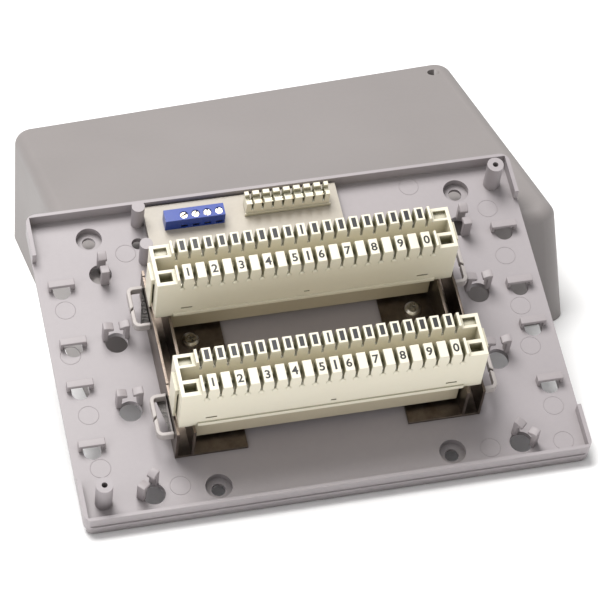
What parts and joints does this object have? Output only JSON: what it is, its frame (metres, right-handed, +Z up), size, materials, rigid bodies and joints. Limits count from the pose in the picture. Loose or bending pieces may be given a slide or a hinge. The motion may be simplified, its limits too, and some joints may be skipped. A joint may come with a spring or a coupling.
{
  "type": "wiring distribution box",
  "caption": "Wall wiring box with its cover off: a shallow grey base carrying two slotted ivory connection strips leans on its open cover.",
  "frame": {"origin": "middle of the underside of the bounding box, on the floor", "axes": "+Z up, +X to the right along the base, +Y away from the near edge of the base towards the cover"},
  "size_m": [0.2112, 0.2428, 0.0829],
  "materials": {
    "base_plastic": "lilac-grey moulded plastic, fine satin",
    "cover_plastic": "lilac-grey moulded plastic, fine satin",
    "screw_steel": "plated steel",
    "bracket_steel": "plated sheet steel, dull",
    "contact_metal": "silver-plated",
    "shell_plastic": "beige moulded plastic",
    "strip_plastic": "ivory moulded plastic, satin",
    "loop_plastic": "pale grey moulded plastic",
    "board_laminate": "pale lacquered laminate",
    "terminal_plastic": "blue moulded plastic",
    "pin_metal": "tinned",
    "terminal_screw_steel": "plated steel",
    "clamp_metal": "nickel-plated"
  },
  "bodies": {
    "box": {"base": "base_plastic", "base_cable_clips": "base_plastic", "base_tie_bridges": "base_plastic", "cover": "cover_plastic", "bracket_left": "bracket_steel", "bracket_right": "bracket_steel", "bracket_screw_left": "screw_steel", "bracket_screw_right": "screw_steel", "strip_upper_housing": "strip_plastic", "strip_lower_housing": "strip_plastic", "strip_upper_shell": "shell_plastic", "strip_lower_shell": "shell_plastic", "strip_upper_contacts_far": "contact_metal", "strip_upper_contacts_near": "contact_metal", "strip_lower_contacts_far": "contact_metal", "strip_lower_contacts_near": "contact_metal", "wire_loop_upper_left": "loop_plastic", "wire_loop_upper_right": "loop_plastic", "wire_loop_lower_left": "loop_plastic", "wire_loop_lower_right": "loop_plastic", "circuit_board": "board_laminate", "terminal_housing": "terminal_plastic", "terminal_pins": "pin_metal", "board_strip_housing": "strip_plastic", "board_strip_contacts": "contact_metal"},
    "screw_1": {"terminal_screw_1": "terminal_screw_steel"},
    "clamp_1": {"terminal_clamp_1": "clamp_metal"},
    "screw_2": {"terminal_screw_2": "terminal_screw_steel"},
    "clamp_2": {"terminal_clamp_2": "clamp_metal"},
    "screw_3": {"terminal_screw_3": "terminal_screw_steel"},
    "clamp_3": {"terminal_clamp_3": "clamp_metal"},
    "screw_4": {"terminal_screw_4": "terminal_screw_steel"},
    "clamp_4": {"terminal_clamp_4": "clamp_metal"}
  },
  "joints": [
    {"name": "screw_1_turn", "type": "hinge", "parent": "box", "child": "screw_1", "pos_m": [-0.04617, -0.01533, 0.06685], "axis": [0, 0.4622, -0.8868], "range_deg": [0, 990]},
    {"name": "clamp_1_rise", "type": "slide", "parent": "box", "child": "clamp_1", "axis": [0, -0.4622, 0.8868], "range_m": [0, 0.0011]},
    {"name": "screw_2_turn", "type": "hinge", "parent": "box", "child": "screw_2", "pos_m": [-0.04162, -0.01533, 0.06685], "axis": [0, 0.4622, -0.8868], "range_deg": [0, 990]},
    {"name": "clamp_2_rise", "type": "slide", "parent": "box", "child": "clamp_2", "axis": [0, -0.4622, 0.8868], "range_m": [0, 0.0011]},
    {"name": "screw_3_turn", "type": "hinge", "parent": "box", "child": "screw_3", "pos_m": [-0.03707, -0.01533, 0.06685], "axis": [0, 0.4622, -0.8868], "range_deg": [0, 990]},
    {"name": "clamp_3_rise", "type": "slide", "parent": "box", "child": "clamp_3", "axis": [0, -0.4622, 0.8868], "range_m": [0, 0.0011]},
    {"name": "screw_4_turn", "type": "hinge", "parent": "box", "child": "screw_4", "pos_m": [-0.03252, -0.01533, 0.06685], "axis": [0, 0.4622, -0.8868], "range_deg": [0, 990]},
    {"name": "clamp_4_rise", "type": "slide", "parent": "box", "child": "clamp_4", "axis": [0, -0.4622, 0.8868], "range_m": [0, 0.0011]}
  ],
  "couplings": [
    {"joint": "screw_1_turn", "follows": "clamp_1_rise", "rad_per_m": 15708},
    {"joint": "screw_2_turn", "follows": "clamp_2_rise", "rad_per_m": 15708},
    {"joint": "screw_3_turn", "follows": "clamp_3_rise", "rad_per_m": 15708},
    {"joint": "screw_4_turn", "follows": "clamp_4_rise", "rad_per_m": 15708}
  ]
}
